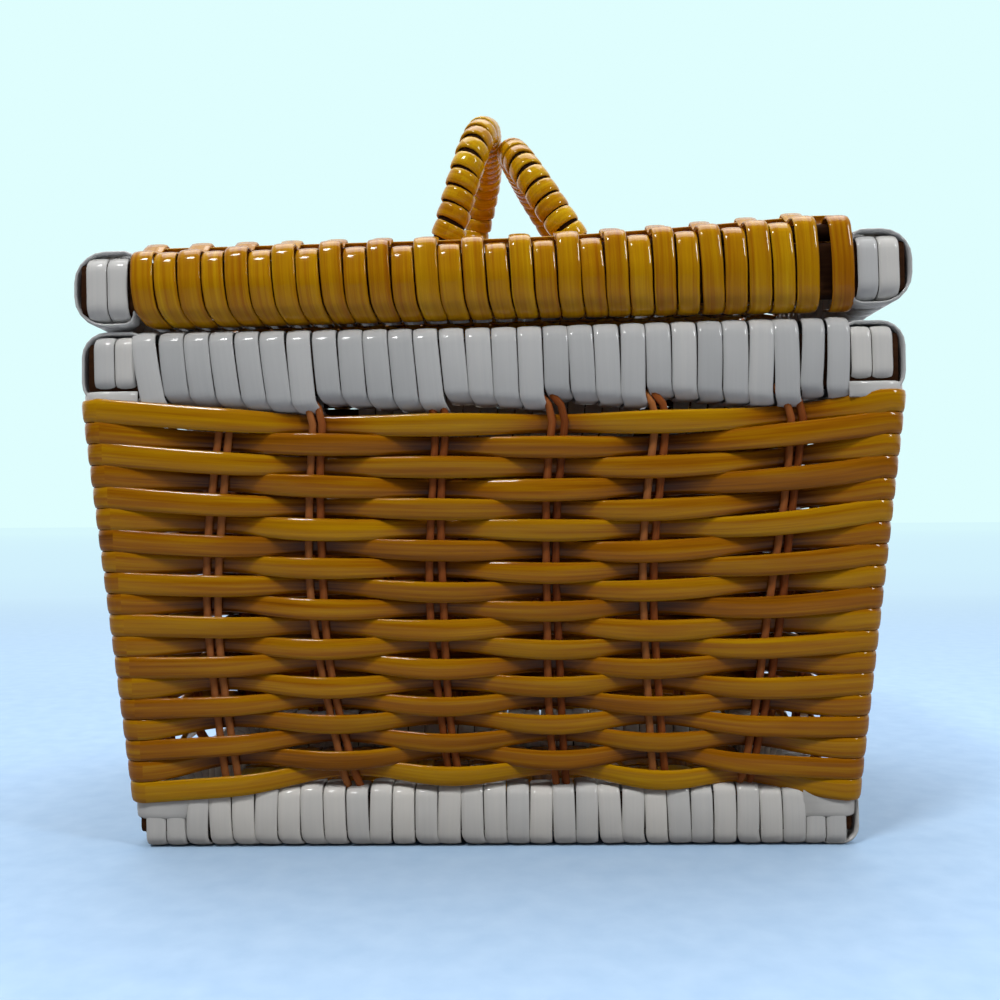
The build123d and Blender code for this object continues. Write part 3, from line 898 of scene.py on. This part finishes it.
# Felt floor: pale blue and fuzzy, with the bag's soft shadow, paler in the distance for the camera
felt = {
    "tuft": 25 / 3 * mm, "tufts": [(0.3, "#accae8"), (0.7, "#b6d2ee")], "unseen": "#898c92",
    "fadeFrom": 0.1, "fadeTo": 0.9, "farFrom": 0.4, "farTo": 9.0,
    "far": [(0, "#cbe8fd"), (0.12, "#d1f0fd"), (1, "#d8f8fd")],
}
feltCloth, feltTree, feltShader = newMaterial("pale_blue_felt")
feltPlace = addNode(feltTree, "ShaderNodeTexCoord").outputs["Object"]
fuzz = addNode(feltTree, "ShaderNodeTexNoise", [("Vector", feltPlace)], Scale=1 / felt["tuft"], Detail=6.0)
tufts = addNode(feltTree, "ShaderNodeValToRGB", [("Fac", fuzz.outputs["Fac"])], felt["tufts"])
byCamera = addNode(feltTree, "ShaderNodeLightPath").outputs["Is Camera Ray"]
feltLinks = [("Factor", byCamera), ("B", tufts.outputs["Color"])]
feltTone = addNode(feltTree, "ShaderNodeMix", feltLinks, data_type="RGBA", A=linear(felt["unseen"]))
feltTree.links.new(feltTone.outputs["Result"], feltShader.inputs["Base Color"])
feltShader.inputs["Roughness"].default_value = 0.95
feltShader.inputs["Specular IOR Level"].default_value = 0.1
depth = addNode(feltTree, "ShaderNodeSeparateXYZ", [("Vector", feltPlace)]).outputs["Y"]
away = [("Value", depth)]
fade = addNode(feltTree, "ShaderNodeMapRange", away, From_Min=felt["fadeFrom"], From_Max=felt["fadeTo"])
fadeLinks = [(0, fade.outputs["Result"]), (1, byCamera)]
seenFar = addNode(feltTree, "ShaderNodeMath", fadeLinks, operation="MULTIPLY").outputs[0]
farShare = addNode(feltTree, "ShaderNodeMapRange", away, From_Min=felt["farFrom"], From_Max=felt["farTo"])
farTone = addNode(feltTree, "ShaderNodeValToRGB", [("Fac", farShare.outputs["Result"])], felt["far"])
far = addNode(feltTree, "ShaderNodeEmission", [("Color", farTone.outputs["Color"])], Strength=1.0)
blendLinks = [(0, seenFar), (1, feltShader.outputs[0]), (2, far.outputs[0])]
blend = addNode(feltTree, "ShaderNodeMixShader", blendLinks)
feltTree.links.new(blend.outputs[0], feltTree.nodes["Material Output"].inputs["Surface"])
bpy.ops.mesh.primitive_plane_add(size=60, location=(0, 0, 0))
floor = bpy.context.object
floor.name = "floor"
floor.data.materials.append(feltCloth)

# Pale wall behind, as the camera sees it; for the soft light a room that is dim in front
world = bpy.data.worlds.new("pale_room")
bpy.context.scene.world = world
world.use_nodes = True
roomTree = world.node_tree
room = roomTree.nodes["Background"]
room.inputs["Color"].default_value = linear("#f4f7fb")
towards = addNode(roomTree, "ShaderNodeTexCoord").outputs["Generated"]
backward = addNode(roomTree, "ShaderNodeSeparateXYZ", [("Vector", towards)]).outputs["Y"]
glowRange = {"From_Min": -0.4, "From_Max": 0.6, "To_Min": 0.06, "To_Max": 1.0}
glow = addNode(roomTree, "ShaderNodeMapRange", [("Value", backward)], **glowRange)
roomTree.links.new(glow.outputs["Result"], room.inputs["Strength"])
seen = addNode(roomTree, "ShaderNodeBackground", Color=linear("#dffefe"), Strength=1.0)
rays = addNode(roomTree, "ShaderNodeLightPath").outputs
seenRays = [(0, rays["Is Camera Ray"]), (1, rays["Is Transmission Ray"])]
direct = addNode(roomTree, "ShaderNodeMath", seenRays, operation="MAXIMUM").outputs[0]
either = addNode(roomTree, "ShaderNodeMixShader", [(0, direct), (1, room.outputs[0]), (2, seen.outputs[0])])
roomTree.links.new(either.outputs[0], roomTree.nodes["World Output"].inputs["Surface"])


def addLight(name, place, aim, size, power, code):
    lamp = bpy.data.lights.new(name, "AREA")
    lamp.shape = "RECTANGLE"
    lamp.size, lamp.size_y = size
    lamp.energy = power
    lamp.color = linear(code)[:3]
    light = bpy.data.objects.new(name, lamp)
    light.location = place
    light.rotation_euler = (Vector(aim) - Vector(place)).to_track_quat("-Z", "Y").to_euler()
    bpy.context.scene.collection.objects.link(light)


addLight("ceiling", (0.0, 0.35, 1.9), (0, 0.1, 0.0), (1.8, 1.4), 25, "#fafcff")
addLight("lamp", (-0.35, -0.6, 1.0), (0, 0, 0.1), (0.22, 0.2), 5.8, "#ffffff")
addLight("window", (0.85, -0.6, 0.75), (0, 0, 0.1), (0.16, 0.35), 4.2, "#fafcff")
print("room lit")

# The camera stands close in front, a little above half height
view = {"place": (0.0040, -0.3417, 0.0889), "turn": (91.23, 0.33, 0.46), "focal": 1.025}
lens = bpy.data.cameras.new("camera")
lens.sensor_width = 36
lens.lens = lens.sensor_width * view["focal"]
lens.clip_start = 0.01
camera = bpy.data.objects.new("camera", lens)
camera.location = view["place"]
camera.rotation_euler = [math.radians(angle) for angle in view["turn"]]
bpy.context.scene.collection.objects.link(camera)
bpy.context.scene.camera = camera
bpy.context.scene.view_settings.view_transform = "Standard"
